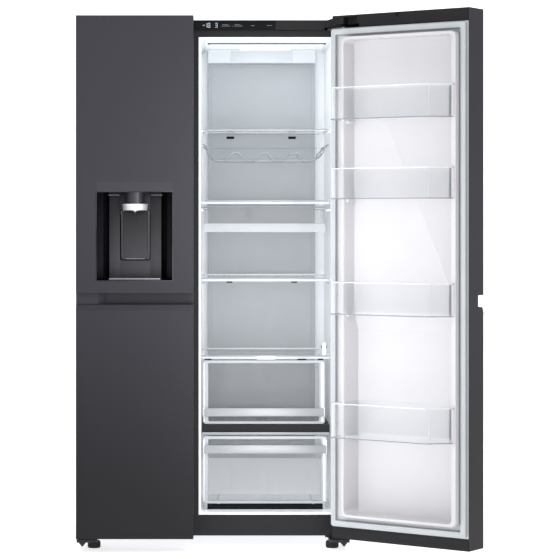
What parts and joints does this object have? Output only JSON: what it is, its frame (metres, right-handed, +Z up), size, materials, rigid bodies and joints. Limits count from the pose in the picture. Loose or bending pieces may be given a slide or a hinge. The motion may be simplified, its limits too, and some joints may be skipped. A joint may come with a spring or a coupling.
{
  "type": "side by side refrigerator",
  "caption": "Free-standing side by side refrigerator: freezer door with water and ice dispenser shut, fresh food door open over shelves, drawers and door bins.",
  "frame": {"origin": "on the floor, under the middle of the whole object's bounding box with the right door open", "axes": "+X to the right seen from the front, +Y from the doors to the back, +Z up"},
  "size_m": [1.3308, 1.048, 1.79],
  "materials": {
    "door_steel": "satin grey paint, fine grain",
    "case_steel": "textured dark grey paint",
    "zinc_steel": "zinc plated sheet",
    "black_plastic": "fine textured black plastic",
    "gloss_black": "polished black plastic",
    "white_plastic": "smooth white moulding",
    "grey_panel": "silver grey panel with a brushed film",
    "gasket": "soft grey vinyl",
    "foam": "rigid polyurethane foam",
    "clear_plastic": "clear moulding",
    "frosted_plastic": "frosted moulding",
    "shelf_glass": "toughened glass with polished edges",
    "chrome": "bright plated",
    "fins": "aluminium fins on tubes",
    "compressor": "gloss black enamel",
    "foot_rubber": "moulded feet and tyres"
  },
  "bodies": {
    "cabinet": {"outer_case": "case_steel", "back_panel": "zinc_steel", "front_frame": "case_steel", "insulation": "foam", "fridge_liner": "white_plastic", "freezer_liner": "white_plastic", "top_cover": "black_plastic", "display_panel": "gloss_black", "base_plate": "zinc_steel", "upper_hinge_left": "chrome", "upper_hinge_right": "chrome", "lower_hinge_left": "black_plastic", "lower_hinge_right": "black_plastic", "compressor": "compressor", "condenser": "fins", "rear_cover": "zinc_steel", "duct_panel": "grey_panel", "ceiling_housing": "white_plastic", "shelf_upper": "shelf_glass", "shelf_middle": "shelf_glass", "shelf_lower": "shelf_glass", "crisper_cover": "shelf_glass", "crisper_divider": "black_plastic", "wine_rack": "clear_plastic", "evaporator_cover": "white_plastic", "evaporator": "fins", "freezer_shelf": "shelf_glass", "ice_bucket": "frosted_plastic", "ice_maker": "white_plastic", "freezer_drawer_lower": "clear_plastic", "freezer_drawer_upper": "clear_plastic"},
    "freezer_door": {"freezer_door_skin": "door_steel", "freezer_door_core": "foam", "freezer_door_liner": "white_plastic", "freezer_door_top_cap": "black_plastic", "freezer_door_bottom_cap": "black_plastic", "freezer_door_gasket": "gasket", "dispenser_housing": "gloss_black", "dispenser_chute": "chrome", "freezer_door_bin": "clear_plastic"},
    "fridge_door": {"fridge_door_skin": "door_steel", "fridge_door_core": "foam", "fridge_door_liner": "white_plastic", "fridge_door_top_cap": "black_plastic", "fridge_door_bottom_cap": "black_plastic", "fridge_door_gasket": "gasket", "door_bin_bottom": "clear_plastic", "door_bin_lower": "clear_plastic", "door_bin_middle": "clear_plastic", "door_bin_top": "clear_plastic"},
    "dispenser_paddle": {"dispenser_paddle": "black_plastic"},
    "snack_drawer": {"snack_drawer": "frosted_plastic"},
    "upper_crisper": {"upper_crisper": "clear_plastic"},
    "lower_crisper": {"lower_crisper": "clear_plastic"},
    "levelling_foot_left": {"levelling_foot_left": "foot_rubber"},
    "levelling_foot_right": {"levelling_foot_right": "foot_rubber"},
    "rear_roller_left": {"rear_roller_left": "foot_rubber"},
    "rear_roller_right": {"rear_roller_right": "foot_rubber"},
    "condenser_fan": {"condenser_fan": "black_plastic"},
    "evaporator_fan": {"evaporator_fan": "black_plastic"}
  },
  "joints": [
    {"name": "fridge_door_hinge", "type": "hinge", "parent": "cabinet", "child": "fridge_door", "pos_m": [0.22907, -0.15754, 0.9], "axis": [0, 0, 1], "range_deg": [-144, 0]},
    {"name": "freezer_door_hinge", "type": "hinge", "parent": "cabinet", "child": "freezer_door", "pos_m": [-0.64693, -0.15754, 0.9], "axis": [0, 0, -1], "range_deg": [0, 144]},
    {"name": "dispenser_paddle_hinge", "type": "hinge", "parent": "freezer_door", "child": "dispenser_paddle", "pos_m": [-0.46993, -0.14904, 1.134], "axis": [1, 0, 0], "range_deg": [0, 7], "stiffness_Nm_per_rad": 0.3, "springref_deg": -8.59},
    {"name": "snack_drawer_slide", "type": "slide", "parent": "cabinet", "child": "snack_drawer", "axis": [0, -1, 0], "range_m": [0, 0.28]},
    {"name": "upper_crisper_slide", "type": "slide", "parent": "cabinet", "child": "upper_crisper", "axis": [0, -1, 0], "range_m": [0, 0.3]},
    {"name": "lower_crisper_slide", "type": "slide", "parent": "cabinet", "child": "lower_crisper", "axis": [0, -1, 0], "range_m": [0, 0.25]},
    {"name": "levelling_foot_left_screw", "type": "hinge", "parent": "cabinet", "child": "levelling_foot_left", "pos_m": [-0.61193, -0.07404, 0.02], "axis": [0, 0, 1], "continuous": true},
    {"name": "rear_roller_left_axle", "type": "hinge", "parent": "cabinet", "child": "rear_roller_left", "pos_m": [-0.58743, 0.43396, 0.02], "axis": [1, 0, 0], "continuous": true},
    {"name": "levelling_foot_right_screw", "type": "hinge", "parent": "cabinet", "child": "levelling_foot_right", "pos_m": [0.19407, -0.07404, 0.02], "axis": [0, 0, 1], "continuous": true},
    {"name": "rear_roller_right_axle", "type": "hinge", "parent": "cabinet", "child": "rear_roller_right", "pos_m": [0.16957, 0.43396, 0.02], "axis": [1, 0, 0], "continuous": true},
    {"name": "condenser_fan_shaft", "type": "hinge", "parent": "cabinet", "child": "condenser_fan", "pos_m": [-0.37043, 0.42896, 0.1284], "axis": [1, 0, 0], "continuous": true},
    {"name": "evaporator_fan_shaft", "type": "hinge", "parent": "cabinet", "child": "evaporator_fan", "pos_m": [-0.45293, 0.38896, 0.6844], "axis": [0, 1, 0], "continuous": true}
  ]
}
